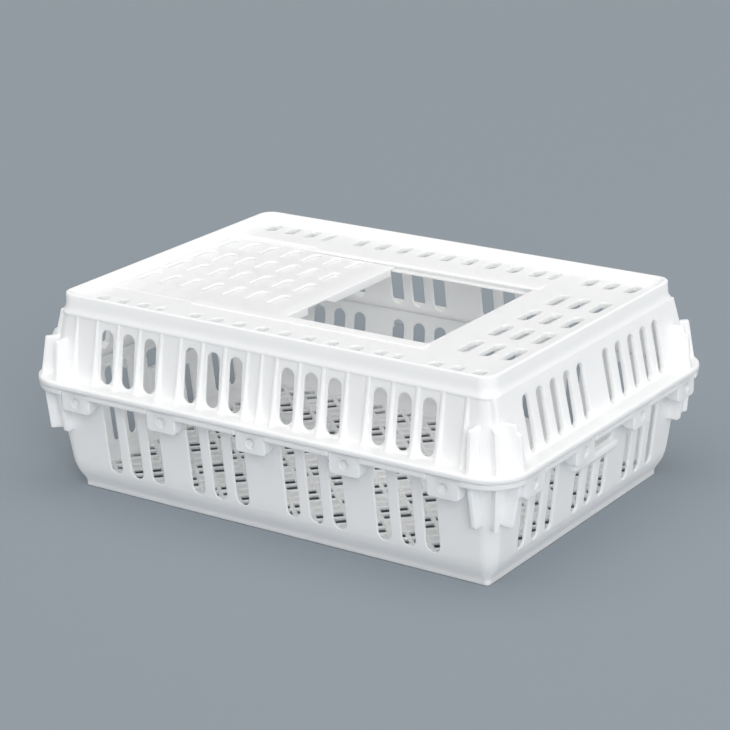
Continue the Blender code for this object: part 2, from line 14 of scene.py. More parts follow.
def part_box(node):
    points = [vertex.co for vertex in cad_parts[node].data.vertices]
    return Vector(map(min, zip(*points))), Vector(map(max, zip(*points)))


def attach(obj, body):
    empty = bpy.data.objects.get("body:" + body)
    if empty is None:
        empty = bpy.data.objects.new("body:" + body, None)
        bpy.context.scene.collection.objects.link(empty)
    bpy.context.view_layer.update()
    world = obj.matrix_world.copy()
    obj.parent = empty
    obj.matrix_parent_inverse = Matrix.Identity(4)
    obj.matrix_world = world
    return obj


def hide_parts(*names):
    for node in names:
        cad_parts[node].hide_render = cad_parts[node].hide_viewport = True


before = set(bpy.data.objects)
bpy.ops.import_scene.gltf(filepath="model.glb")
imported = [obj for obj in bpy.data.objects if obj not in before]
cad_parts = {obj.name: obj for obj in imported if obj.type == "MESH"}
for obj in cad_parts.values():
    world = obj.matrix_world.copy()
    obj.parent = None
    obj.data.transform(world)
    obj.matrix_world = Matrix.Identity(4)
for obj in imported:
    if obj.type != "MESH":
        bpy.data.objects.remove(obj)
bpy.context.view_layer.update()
cover_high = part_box("cover")[1]
tray_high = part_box("tray")[1]
door_low, door_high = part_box("hatch_door")

# Outlines of the shells: half length and half width at each level.
RIM = Vector((cover_high.x, cover_high.y))
TRAY_RIM = Vector((tray_high.x, tray_high.y))
LIP_TOP = Vector((0.3312, 0.2316))
BAND = Vector((0.3355, 0.2355))
COVER_TOP = Vector((0.3340, 0.2342))
COVER_FOOT = Vector((0.3500, 0.2458))
TRAY_TOP = Vector((0.3465, 0.2455))
TRAY_LOW = Vector((0.3330, 0.2320))
FOOT = Vector((0.3186, 0.2175))

# Levels.
TOP_Z = cover_high.z
RIM_TOP_Z = 0.1620
RIM_SPLIT_Z = tray_high.z
BAND_Z = (0.2468, 0.2498, 0.2565)
PANEL_Z = 0.2620
FLOOR_UNDER_Z = 0.0110
FLARE_Z = (0.0080, 0.0285)
FLOOR_Z = 0.0145
TRAY_LOW_Z = 0.0360
TRAY_SKIRT_Z = 0.1457
TRAY_ROOF_Z = RIM_SPLIT_Z - 0.0040
COVER_ROOF_Z = RIM_TOP_Z - 0.0040
GAP = 0.0003

# Thicknesses, roundings and what the cutters and joined solids need.
WALL = 0.0028
PANEL = 0.0030
LIP = 0.0058
COLLAR = 0.0075
COLLAR_WALL = 0.0017
END_SKIN = 0.0038
END_SKIN_STOP = 0.0060
END_SKIN_FLARE = 0.0022
END_LINER = 0.0016
CORNER_STEPS = 10
SLOT_ROUND = 0.0009
TOP_SLOT_ROUND = 0.0012
DOOR_SLOT_ROUND = 0.0007
HATCH_ROUND = 0.0010
CHANNEL_ROUND = 0.0006
RIM_CORNER = 0.0560
COVER_SKIRT = 0.0035
TRAY_SKIRT = 0.0032
FOOT_RIM = 0.0040
BEND_SHARE = 0.94
OVERLAP = 0.0010
CUT_REACH = 0.0040
CUT_CLEAR = 0.0050

# Wall slots: groups along each wall, pitch and width.
LONG_GROUPS = (-0.2135, -0.0755, 0.0755, 0.2135)
COVER_END_GROUPS = (-0.0989, 0.0989)
TRAY_END_GROUPS = (-0.1320, 0.0, 0.1320)
LONG_PITCH = 0.0355
END_PITCH = 0.0330
LONG_SLOT = 0.0200
END_SLOT = 0.0172
COVER_SLOT_Z = (0.1645, 0.2370)
TRAY_SLOT_Z = (0.0340, 0.1400)
UNDER_GRIP_SLOT_TOP = 0.0950
LINER_MARGIN = 0.0020
LONG_END_RIB = 0.3010
RIB_REACH = 0.0066

# Lugs round the rim.
LONG_LUGS = (-0.2850, -0.1425, 0.0, 0.1425, 0.2850)
END_LUGS = (-0.1960, -0.0740, 0.0740, 0.1960)
LUG_WIDTH = 0.0460
LUG_INSET = 0.0028
NOTCH_DEPTH = 0.0046
NOTCH_Z = (0.1400, 0.1600)
LUG_PLATE = 0.0030
LUG_LOW_Z = 0.1245
LUG_ROUND = 0.0050
CHEEK = 0.0025
TONGUE = 0.0028
TONGUE_WIDTH = 0.0220
TONGUE_LOW_Z = 0.1280
TONGUE_BORE = 0.0100
TONGUE_SLIT_Z = (0.1480, 0.1560)
PIN_Z = 0.1390
PIN_HEAD_RADIUS = 0.0060
PIN_SHANK_RADIUS = 0.0040
PIN_BORE_RADIUS = 0.0022
PIN_STEPS = 24
LUG_HOLE_DEPTH = 0.0050
LUG_HOLE_ROUND = 0.0006

# Hand holes.
GRIP_HALF = 0.0500
GRIP_Z = (0.1100, 0.1370)
GRIP_CORNER = 0.0060
BAR_HALF = 0.0560
BAR_Z = (0.0985, 0.1096)
BAR_DEPTH = 0.0085
BAR_ROUND = 0.0036
BAR_SUNK = 0.0012

# Fins at the corners: plates across each wall, and one on each corner's diagonal.
LONG_FINS = (-0.3185, 0.3185)
END_FINS = (-0.2200, 0.2090)
COVER_FIN_HALF = 0.0030
TRAY_FIN_HALF = 0.0035
DIAGONAL_CENTRE = Vector((0.3170, 0.2155))
DIAGONAL_FIN_HALF = 0.0029

# Top: edge slots, grilles, hatch, channel and door.
EDGE_ROW_Y = 0.1950
EDGE_SLOT = (0.0160, 0.0320)
EDGE_SLOT_NARROW = 0.0110
EDGE_RUNS = (  # centre, count, pitch, width
    (-0.2595, 3, 0.0335, EDGE_SLOT[0]), (-0.1965, 1, 0.0, EDGE_SLOT_NARROW),
    (0.0030, 9, 0.0360, EDGE_SLOT[0]), (0.1725, 1, 0.0, EDGE_SLOT_NARROW),
    (0.2585, 3, 0.0315, EDGE_SLOT[0]),
)
GRILLE_X = 0.2595
GRILLE_Y = -0.0020
GRILLE_PITCH = (0.0312, 0.0718)
GRILLE_SLOT = (0.0155, 0.0480)
HATCH_X = (-0.0600, 0.1780)
HATCH_HALF = 0.1310
HATCH_CORNER = 0.0090
LEDGE_HALF = 0.1290
LEDGE_CORNER = 0.0040
CHANNEL_HALF = 0.1372
CHANNEL_Z = 0.2546
CHANNEL_WALL = 0.0030
DOOR_PLAY = 0.0006
BAY_CORNER = 0.0040
BAY_ONLY = 0.0400
BAY_X = (-0.3220, -0.1780)
BAY_HALF = 0.1450
DOOR_SLOTS = (7, 4)
DOOR_PITCH = (0.0360, 0.0593)
DOOR_SLOT = (0.0155, 0.0430)
DOOR_SLOT_CENTRE = (-0.2010, 0.0190)
DOOR_PLATE_LOW = 0.2549
DOOR_LIP = 0.0030
DOOR_LIPS_Y = ((-0.1240, -0.0720), (-0.0320, 0.1240))
GUIDE = (0.0012, 0.0200)
GUIDE_HIGH = 0.0013

# Floor lattice: clusters of four diamond holes on a square grid.
CLUSTER_PITCH = 0.0600
CLUSTER_REACH = (6, 5)
CLUSTER_ORIGIN = (-0.0070, 0.0110)
DIAMOND_STEP = 0.0150
DIAMOND_HALF = 0.0108
DIAMOND_EDGE = 0.0020
HOLLOW_SHARE = 0.92
HOLLOW_DEPTH = 0.0012
FLOOR_RIB = 0.0024
FLOOR_RIB_HIGH = 0.0007
FLOOR_RIB_ROOT = 0.0012
FLOOR_RIB_ROWS = 26
FLOOR_RIB_HALF_LENGTH = 0.60
FLOOR_HALF = Vector((0.3200, 0.2190))


# ---------------------------------------------------------------- mesh tools


def finish_mesh(name, bm):
    bmesh.ops.recalc_face_normals(bm, faces=bm.faces)
    mesh = bpy.data.meshes.new(name)
    bm.to_mesh(mesh)
    bm.free()
    item = bpy.data.objects.new(name, mesh)
    bpy.context.scene.collection.objects.link(item)
    return item


def boolean(target, tools, operation):
    """Cut or join the tools one after another and drop them."""
    for tool in tools:
        modifier = target.modifiers.new(tool.name, "BOOLEAN")
        modifier.operation = operation
        modifier.solver = "MANIFOLD"
        modifier.object = tool
    bake(target)
    for tool in tools:
        bpy.data.objects.remove(tool, do_unlink=True)
    return target


def bake(item):
    """Replace an object's mesh with its evaluated one."""
    depsgraph = bpy.context.evaluated_depsgraph_get()
    mesh = bpy.data.meshes.new_from_object(item.evaluated_get(depsgraph))
    item.modifiers.clear()
    item.data = mesh


def shade(item, angle=36):
    item.data.shade_smooth()
    item.data.set_sharp_from_angle(angle=math.radians(angle))
    modifier = item.modifiers.new("weighted_normals", "WEIGHTED_NORMAL")
    modifier.keep_sharp = True
    modifier.weight = 80
    bake(item)


def skin(bm, rings):
    """Faces between successive rings of points, with a cap at both ends."""
    loops = [[bm.verts.new(point) for point in points] for points in rings]
    count = len(loops[0])
    for lower, upper in zip(loops, loops[1:]):
        for i in range(count):
            j = (i + 1) % count
            bm.faces.new((lower[i], lower[j], upper[j], upper[i]))
    bm.faces.new(loops[0])
    bm.faces.new(loops[-1])


def arc(centre, radius, start, sweep, steps):
    points = []
    for step in range(steps + 1):
        angle = math.radians(start + sweep * step / steps)
        points.append(Vector(centre) + radius * Vector((math.cos(angle), math.sin(angle))))
    return points


def rounded_rectangle(half_x, half_y, radius, steps=CORNER_STEPS):
    points = []
    for side_x, side_y, start in ((1, -1, -90), (1, 1, 0), (-1, 1, 90), (-1, -1, 180)):
        centre = (side_x * (half_x - radius), side_y * (half_y - radius))
        points += arc(centre, radius, start, 90, steps)
    return points


def circle(radius, steps=PIN_STEPS):
    return arc((0, 0), radius, 0, 360 - 360 / steps, steps - 1)


def obround(width, length, steps=8):
    """Outline of a slot that is long in its second direction."""
    radius = width / 2
    reach = length / 2 - radius
    return arc((0, reach), radius, 0, 180, steps) + arc((0, -reach), radius, 180, 180, steps)


def soften(profile, steps=3):
    """Round each corner of a profile of (half_x, half_y, corner, z, softness) rows."""
    rows = []
    for i, row in enumerate(profile):
        here = Vector(row[:4])
        soft = row[4]
        if i in (0, len(profile) - 1) or soft == 0:
            rows.append(here)
            continue
        before = Vector(profile[i - 1][:4]) - here
        after = Vector(profile[i + 1][:4]) - here
        start = here + before * min(0.45, soft / flat_length(before))
        end = here + after * min(0.45, soft / flat_length(after))
        for step in range(steps + 1):
            t = step / steps
            rows.append(start * (1 - t) ** 2 + here * 2 * t * (1 - t) + end * t ** 2)
    return rows


def flat_length(row):
    return max(1e-6, math.hypot(row[1], row[3]))


def shell(name, profile):
    bm = bmesh.new()
    rings = []
    for half_x, half_y, corner, z in soften(profile):
        rings.append([Vector((p.x, p.y, z)) for p in rounded_rectangle(half_x, half_y, corner)])
    skin(bm, rings)
    return finish_mesh(name, bm)


def level(half, corner, z, soft=0.0, grow=0.0):
    return (half.x + grow, half.y + grow, corner + grow, z, soft)


SIDES = {"front": (-90, 1), "right": (0, 0), "back": (90, 1), "left": (180, 0)}


def side_frame(side):
    """Outward and along directions of a wall, and the index of its half size."""
    turn, axis = SIDES[side]
    spin = Matrix.Rotation(math.radians(turn), 3, "Z")
    return spin @ Vector((1, 0, 0)), spin @ Vector((0, 1, 0)), axis


def cover_wall(z, axis):
    share = (z - RIM_TOP_Z) / (BAND_Z[0] - RIM_TOP_Z)
    return COVER_FOOT.lerp(COVER_TOP, share)[axis]


def tray_wall(z, axis):
    share = (z - TRAY_LOW_Z) / (RIM_SPLIT_Z - TRAY_LOW_Z)
    return TRAY_LOW.lerp(TRAY_TOP, share)[axis]


def wall_matrix(wall, side, along, z):
    """Local X along the wall, Y out of it and Z up its slope."""
    out, run, axis = side_frame(side)
    slope = (wall(z + 0.01, axis) - wall(z, axis)) / 0.01
    up = (out * slope + Vector((0, 0, 1))).normalized()
    normal = run.cross(up).normalized()
    place = out * wall(z, axis) + run * along + Vector((0, 0, z))
    matrix = Matrix((run, normal, up)).transposed().to_4x4()
    matrix.translation = place
    return matrix


def through_cut(bm, matrix, outline, thickness, lip=SLOT_ROUND):
    """A cutter through a wall whose edges it rounds; outline(grow) gives its shape."""
    depths = [
        (CUT_REACH, lip), (0.0, lip), (-0.3 * lip, 0.29 * lip), (-lip, 0.0),
        (lip - thickness, 0.0), (0.3 * lip - thickness, 0.29 * lip),
        (-thickness, lip), (-thickness - CUT_REACH, lip),
    ]
    rings = []
    for depth, grow in depths:
        rings.append([matrix @ Vector((p.x, depth, p.y)) for p in outline(grow)])
    skin(bm, rings)


def slot_outline(width, length):
    return lambda grow: obround(width + 2 * grow, length + 2 * grow)


def flat_matrix(x, y, z):
    """Local X along X, Y up and Z along Y, for cuts in the top."""
    matrix = Matrix(((1, 0, 0), (0, 0, 1), (0, 1, 0))).to_4x4()
    matrix.translation = (x, y, z)
    return matrix


def soft_box(bm, low, high, radius=0.0006, segments=2, matrix=None):
    size = [b - a for a, b in zip(low, high)]
    middle = Vector([(a + b) / 2 for a, b in zip(low, high)])
    place = (matrix or Matrix()) @ Matrix.Translation(middle) @ Matrix.Diagonal((*size, 1.0))
    made = bmesh.ops.create_cube(bm, size=1.0, matrix=place)
    edges = {edge for vert in made["verts"] for edge in vert.link_edges}
    bmesh.ops.bevel(bm, geom=list(edges), offset=radius, segments=segments, profile=0.5,
                    affect="EDGES", clamp_overlap=True)


def spread(centre, count, pitch):
    return [centre + (i - (count - 1) / 2) * pitch for i in range(count)]


def side_loft(bm, side, along, sections):
    """A loft up a wall: each section is (z, [(across, outward distance), ...])."""
    out, run, _ = side_frame(side)
    rings = []
    for z, outline in sections:
        ring = [out * depth + run * (along + across) + Vector((0, 0, z))
                for across, depth in outline]
        rings.append(ring)
    skin(bm, rings)


def lug_positions(side):
    return LONG_LUGS if SIDES[side][1] == 1 else END_LUGS


# ---------------------------------------------------------------- cover


def cover_shell():
    inner = LIP_TOP - Vector((LIP, LIP))
    profile = [
        level(inner, 0.0140, PANEL_Z, grow=-0.0040),
        level(inner, 0.0145, PANEL_Z, 0.0016, grow=-0.0004),
        level(inner, 0.0155, TOP_Z, 0.0016),
        level(LIP_TOP, 0.0200, TOP_Z, 0.0022),
        level(LIP_TOP, 0.0200, BAND_Z[2], 0.0060, grow=0.0004),
        level(BAND, 0.0210, BAND_Z[1], 0.0030),
        level(BAND, 0.0210, BAND_Z[0], 0.0012),
        level(COVER_TOP, 0.0200, BAND_Z[0], 0.0006),
        level(COVER_FOOT, 0.0220, RIM_TOP_Z, 0.0035),
        level(RIM, RIM_CORNER, RIM_TOP_Z, 0.0034),
        level(RIM, RIM_CORNER, RIM_SPLIT_Z + GAP, 0.0008),
        level(RIM, RIM_CORNER, RIM_SPLIT_Z + GAP, 0.0004, grow=-COVER_SKIRT),
        level(RIM, RIM_CORNER, COVER_ROOF_Z, 0.0010, grow=-COVER_SKIRT),
        level(COVER_FOOT, 0.0240, COVER_ROOF_Z, 0.0010, grow=0.0020),
        level(COVER_FOOT, 0.0240, RIM_SPLIT_Z + GAP, 0.0004, grow=0.0020),
        level(COVER_FOOT, 0.0220, RIM_SPLIT_Z + GAP, 0.0004, grow=-WALL),
        level(COVER_TOP, 0.0200, BAND_Z[0], 0.0030, grow=-WALL),
        level(inner, 0.0155, PANEL_Z - PANEL - 0.0020, 0.0010),
        level(inner, 0.0140, PANEL_Z - PANEL, grow=-0.0040),
    ]
    return shell("cover_moulding", profile)


def end_skin(z, axis):
    """The thick outer face of the cover's end walls, flush with the band above."""
    share = (z - RIM_TOP_Z) / (BAND_Z[1] - RIM_TOP_Z)
    foot = COVER_FOOT[axis] + END_SKIN
    return foot + (BAND[axis] - 0.0001 - foot) * share


def end_skins():
    """Thickening of the cover's end walls; it stops half way round each corner."""
    bm = bmesh.new()
    for side in ("left", "right"):
        sections = []
        for z in (RIM_TOP_Z - 0.0012, RIM_TOP_Z + 0.0030, BAND_Z[1]):
            half = cover_wall(z, 1) - END_SKIN_STOP
            wall, face = cover_wall(z, 0), end_skin(z, 0)
            if z < RIM_TOP_Z:
                face += END_SKIN_FLARE
            edge = [(half, wall - 0.0078), (half, face - 0.0022), (half - 0.0008, face - 0.0007),
                    (half - 0.0026, face)]
            outline = [(-half + 0.0120, wall - 0.0024)] + [(-across, depth) for across, depth in edge]
            outline += list(reversed(edge)) + [(half - 0.0120, wall - 0.0024)]
            sections.append((z, outline))
        side_loft(bm, side, 0.0, sections)
    return finish_mesh("end_skins", bm)


def cover_slots():
    bm = bmesh.new()
    length = COVER_SLOT_Z[1] - COVER_SLOT_Z[0]
    middle = sum(COVER_SLOT_Z) / 2
    for side, (_, axis) in SIDES.items():
        wall, thickness = cover_wall, WALL
        groups, pitch, width, count = LONG_GROUPS, LONG_PITCH, LONG_SLOT, 3
        if axis == 0:
            wall, thickness = end_skin, 3 * END_SKIN
            groups, pitch, width, count = COVER_END_GROUPS, END_PITCH, END_SLOT, 5
        for group in groups:
            for along in spread(group, count, pitch):
                matrix = wall_matrix(wall, side, along, middle)
                through_cut(bm, matrix, slot_outline(width, length), thickness)
    return finish_mesh("cover_slots", bm)


def edge_slots():
    return [(x, width) for centre, count, pitch, width in EDGE_RUNS
            for x in spread(centre, count, pitch)]


def top_slot_places():
    """(x, y, width, length) of the slots that go through the top panel."""
    places = [(x, side * EDGE_ROW_Y, width, EDGE_SLOT[1])
              for x, width in edge_slots() for side in (-1, 1)]
    places += [(x, y, *GRILLE_SLOT) for x in spread(GRILLE_X, 3, GRILLE_PITCH[0])
               for y in spread(GRILLE_Y, 4, GRILLE_PITCH[1])]
    return places


def slot_collars():
    """Thick edges round the top's slots, standing down under the panel."""
    bm = bmesh.new()
    for x, y, width, length in top_slot_places():
        rings = []
        for z in (PANEL_Z - COLLAR, PANEL_Z - OVERLAP):
            outline = obround(width + 2 * COLLAR_WALL, length + 2 * COLLAR_WALL)
            rings.append([Vector((x + p.x, y + p.y, z)) for p in outline])
        skin(bm, rings)
    return finish_mesh("slot_collars", bm)


def top_slots():
    bm = bmesh.new()
    for x, y, width, length in top_slot_places():
        outline = slot_outline(width, length)
        through_cut(bm, flat_matrix(x, y, PANEL_Z), outline, COLLAR, TOP_SLOT_ROUND)
    return finish_mesh("top_slots", bm)


def hatch_cut():
    """The hatch and, at its left, the open bay that the parked door lies in."""
    bm = bmesh.new()
    hatch_left = BAY_X[0] + BAY_ONLY
    hatch_half = (HATCH_X[1] - hatch_left) / 2
    bay_half = (BAY_X[1] - BAY_X[0]) / 2

    def hatch(grow):
        return rounded_rectangle(hatch_half + grow, HATCH_HALF + grow, HATCH_CORNER + grow, 5)

    def open_bay(grow):
        return rounded_rectangle(bay_half + grow, BAY_HALF + grow, BAY_CORNER + grow, 4)

    matrix = flat_matrix((hatch_left + HATCH_X[1]) / 2, 0, PANEL_Z)
    through_cut(bm, matrix, hatch, PANEL, HATCH_ROUND)
    hatch_cutter = finish_mesh("hatch_cut", bm)
    bm = bmesh.new()
    matrix = flat_matrix(sum(BAY_X) / 2, 0, PANEL_Z)
    through_cut(bm, matrix, open_bay, PANEL, HATCH_ROUND)
    return hatch_cutter, finish_mesh("bay_cut", bm)


def channel_outline(grow):
    right = HATCH_X[1] + DOOR_PLAY + grow
    left = BAY_X[0] - grow
    corner = BAY_X[1] + grow
    wide = BAY_HALF + grow
    narrow = CHANNEL_HALF + grow
    half = [(left, wide), (corner, wide), (corner, narrow), (right, narrow)]
    return [(x, -y) for x, y in half] + [(x, y) for x, y in reversed(half)]


def prism(bm, outline, z_low, z_high):
    rings = [[Vector((x, y, z)) for x, y in outline] for z in (z_low, z_high)]
    skin(bm, rings)


def door_channel():
    bm = bmesh.new()
    prism(bm, channel_outline(CHANNEL_WALL), CHANNEL_Z - CHANNEL_WALL, PANEL_Z - 0.0016)
    channel = finish_mesh("door_channel", bm)
    bm = bmesh.new()
    prism(bm, channel_outline(0.0), CHANNEL_Z, PANEL_Z + CUT_CLEAR)
    space = finish_mesh("channel_space", bm)
    bm = bmesh.new()

    def mouth(grow):
        half_x = (HATCH_X[1] - HATCH_X[0]) / 2 + grow
        return rounded_rectangle(half_x, LEDGE_HALF + grow, LEDGE_CORNER + grow, 5)

    matrix = flat_matrix(sum(HATCH_X) / 2, 0, CHANNEL_Z)
    through_cut(bm, matrix, mouth, CHANNEL_WALL, CHANNEL_ROUND)
    for x in spread(-GRILLE_X, 3, GRILLE_PITCH[0]):
        for y in spread(GRILLE_Y, 4, GRILLE_PITCH[1]):
            matrix = flat_matrix(x, y, CHANNEL_Z)
            through_cut(bm, matrix, slot_outline(*GRILLE_SLOT), CHANNEL_WALL, CHANNEL_ROUND)
    mouths = finish_mesh("channel_cuts", bm)
    return boolean(channel, [space, mouths], "DIFFERENCE")


def rib_outline(half_width, wall, reach):
    """Half-round tipped rib with a flared root, from inside the wall to its tip."""
    half = [
        (half_width + 0.0012, wall - 0.0016), (half_width + 0.0010, wall),
        (half_width + 0.0002, wall + 0.0006),
        (half_width - 0.0002, wall + max(0.0008, reach - 0.0016)),
        (half_width * 0.62, wall + reach - 0.0004),
    ]
    return [(-across, depth) for across, depth in half] + [(0.0, wall + reach)] + half[::-1]


def rib_positions():
    ribs = [0.0, -LONG_END_RIB, LONG_END_RIB]
    for group in LONG_GROUPS:
        ribs += spread(group, 4, LONG_PITCH)
    return ribs


def cover_ribs():
    bm = bmesh.new()
    low, high = RIM_TOP_Z - 0.0012, BAND_Z[0] + 0.0014
    steps = (
        (low, 0.0046, RIB_REACH + 0.0034), (low + 0.0026, 0.0040, RIB_REACH + 0.0008),
        (low + 0.0070, 0.0035, RIB_REACH - 0.0003), ((low + high) / 2, 0.0029, RIB_REACH * 0.58),
        (high, 0.0024, BAND.y - 0.0002 - cover_wall(high, 1)),
    )
    for side in ("front", "back"):
        for along in rib_positions():
            sections = [(z, rib_outline(half, cover_wall(z, 1), reach)) for z, half, reach in steps]
            side_loft(bm, side, along, sections)
    return finish_mesh("cover_ribs", bm)


def fin_outline(half, inner, outer, soft=0.0012):
    """Rectangle with two softened outer corners."""
    points = [(-half, inner)]
    for side, start in ((-1, 180), (1, 90)):
        centre = (side * (half - soft), outer - soft)
        points += [tuple(p) for p in arc(centre, soft, start, -90, 3)]
    points.append((half, inner))
    return points


def plate_fins(name, wall, half, side_steps):
    """Corner fins across the walls; the steps are (z, outward distance) going up."""
    bm = bmesh.new()
    for side, (_, axis) in SIDES.items():
        places, steps = LONG_FINS if axis == 1 else END_FINS, side_steps[side]
        for along in places:
            sections = [(z, fin_outline(half, wall(z, axis) - WALL * 0.9, outer))
                        for z, outer in steps]
            side_loft(bm, side, along, sections)
    return finish_mesh(name, bm)


def cover_fins():
    foot = RIM_TOP_Z - 0.0010
    long_steps = ((foot, RIM.y - 0.0046), (0.2140, 0.2592), (0.2152, 0.2580))
    right_steps = ((foot, RIM.x - 0.0038), (0.2052, 0.3668), (0.2068, 0.3656), (0.2098, 0.3614),
                   (0.2172, 0.3600), (0.2184, 0.3588))
    left_steps = ((foot, RIM.x - 0.0038), (0.2050, 0.3668), (0.2130, 0.3622), (0.2142, 0.3606))
    steps = {"front": long_steps, "back": long_steps, "right": right_steps, "left": left_steps}
    return plate_fins("cover_fins", cover_wall, COVER_FIN_HALF, steps)


def diagonal_fins(name, steps, half=DIAGONAL_FIN_HALF):
    """A fin on each corner's diagonal; steps are (z, inner, outer) from the diagonals' centres."""
    bm = bmesh.new()
    for side_x, side_y in ((1, 1), (-1, 1), (-1, -1), (1, -1)):
        turn = Matrix.Rotation(math.atan2(side_y, side_x), 3, "Z")
        centre = Vector((side_x * DIAGONAL_CENTRE.x, side_y * DIAGONAL_CENTRE.y, 0))
        rings = []
        for z, inner, outer in steps:
            rings.append([centre + turn @ Vector((depth, across, z))
                          for across, depth in fin_outline(half, inner, outer)])
        skin(bm, rings)
    return finish_mesh(name, bm)


def guide_strips():
    bm = bmesh.new()
    for side in (-1, 1):
        y = sorted(side * (HATCH_HALF + reach) for reach in GUIDE)
        low = (BAY_X[1] + 0.0015, y[0], PANEL_Z - 0.0012)
        soft_box(bm, low, (HATCH_X[1] + 0.0060, y[1], PANEL_Z + GUIDE_HIGH), 0.0009, 3)
    return finish_mesh("guide_strips", bm)


def cover_tongues():
    bm = bmesh.new()
    for side, (_, axis) in SIDES.items():
        back = RIM[axis] - LUG_INSET - LUG_PLATE - GAP
        half = TONGUE_WIDTH / 2
        for along in lug_positions(side):
            outline = [(-half, back - TONGUE), (-half, back), (half, back), (half, back - TONGUE)]
            side_loft(bm, side, along, [(TONGUE_LOW_Z, outline), (RIM_TOP_Z - 0.0020, outline)])
    return finish_mesh("cover_tongues", bm)


def cover_diagonals():
    return diagonal_fins("cover_diagonals", (
        (RIM_TOP_Z - 0.0008, 0.0340, 0.0522), (0.2142, 0.0224, 0.0436), (0.2153, 0.0222, 0.0424),
    ))


def make_cover():
    cover = cover_shell()
    boolean(cover, [end_skins(), slot_collars()], "UNION")
    boolean(cover, [cover_slots(), top_slots(), *hatch_cut()], "DIFFERENCE")
    fittings = [cover_ribs(), cover_fins(), cover_diagonals(), guide_strips(), cover_tongues(),
                door_channel()]
    boolean(cover, fittings, "UNION")
    bores = pin_bores("tongue_bores", PIN_SHANK_RADIUS + GAP, TONGUE_BORE)
    boolean(cover, [bores], "DIFFERENCE")
    shade(cover)
    return cover


# ---------------------------------------------------------------- tray


def tray_shell():
    inner_foot = FOOT - Vector((FOOT_RIM, FOOT_RIM))
    bend = FOOT.lerp(TRAY_LOW, BEND_SHARE)
    profile = [
        level(inner_foot, 0.0030, FLOOR_UNDER_Z),
        level(inner_foot, 0.0030, 0.0, 0.0010),
        level(FOOT, 0.0060, 0.0, 0.0014),
        level(FOOT, 0.0070, FLARE_Z[0], 0.0056),
        level(bend, 0.0190, FLARE_Z[1], 0.0150),
        level(TRAY_TOP, 0.0220, TRAY_ROOF_Z, 0.0018),
        level(TRAY_RIM, RIM_CORNER, TRAY_ROOF_Z, 0.0008, grow=-TRAY_SKIRT),
        level(TRAY_RIM, RIM_CORNER, TRAY_SKIRT_Z, 0.0010, grow=-TRAY_SKIRT),
        level(TRAY_RIM, RIM_CORNER, TRAY_SKIRT_Z, 0.0026),
        level(TRAY_RIM, RIM_CORNER, RIM_SPLIT_Z, 0.0008),
        level(TRAY_TOP, 0.0220, RIM_SPLIT_Z, 0.0006, grow=-WALL),
        level(bend, 0.0190, FLARE_Z[1], 0.0070, grow=-WALL),
        level(FOOT, 0.0100, FLOOR_Z, 0.0010, grow=-0.0010),
        level(FOOT, 0.0060, FLOOR_Z, grow=-0.0060),
    ]
    return shell("tray_moulding", profile)


def end_liners():
    """Thickening inside the tray's end walls round their slots."""
    bm = bmesh.new()
    for side in ("left", "right"):
        for group in TRAY_END_GROUPS:
            half = 1.5 * END_PITCH + LINER_MARGIN
            sections = []
            for z in (TRAY_SLOT_Z[0] - 0.0030, TRAY_SLOT_Z[1] + 0.0030):
                wall = tray_wall(z, 0)
                root, face = wall - OVERLAP, wall - WALL - END_LINER
                outline = [(-half, root), (half, root),
                           (half - LINER_MARGIN, face), (-half + LINER_MARGIN, face)]
                sections.append((z, outline))
            side_loft(bm, side, group, sections)
    return finish_mesh("end_liners", bm)


def tray_slots():
    bm = bmesh.new()
    for side, (_, axis) in SIDES.items():
        groups, pitch, width, thickness = LONG_GROUPS, LONG_PITCH, LONG_SLOT, WALL
        if axis == 0:
            groups, pitch, width = TRAY_END_GROUPS, END_PITCH, END_SLOT
            thickness = WALL + END_LINER
        for group in groups:
            top = TRAY_SLOT_Z[1]
            if axis == 0 and group == 0.0:
                top = UNDER_GRIP_SLOT_TOP
            middle = (TRAY_SLOT_Z[0] + top) / 2
            for along in spread(group, 3, pitch):
                matrix = wall_matrix(tray_wall, side, along, middle)
                through_cut(bm, matrix, slot_outline(width, top - TRAY_SLOT_Z[0]), thickness)
    for side in ("left", "right"):
        matrix = wall_matrix(tray_wall, side, 0.0, sum(GRIP_Z) / 2)
        half_height = (GRIP_Z[1] - GRIP_Z[0]) / 2

        def grip(grow):
            return rounded_rectangle(GRIP_HALF + grow, half_height + grow, GRIP_CORNER + grow, 5)

        through_cut(bm, matrix, grip, WALL + END_LINER)
    return finish_mesh("tray_slots", bm)


def cluster_centres():
    centres = []
    for i in range(-CLUSTER_REACH[0], CLUSTER_REACH[0] + 1):
        for j in range(-CLUSTER_REACH[1], CLUSTER_REACH[1] + 1):
            centres.append((CLUSTER_ORIGIN[0] + i * CLUSTER_PITCH,
                            CLUSTER_ORIGIN[1] + j * CLUSTER_PITCH))
    return centres


def diamond_fits(x, y):
    edge = DIAMOND_HALF + DIAMOND_EDGE
    return abs(x) < FLOOR_HALF.x - edge and abs(y) < FLOOR_HALF.y - edge


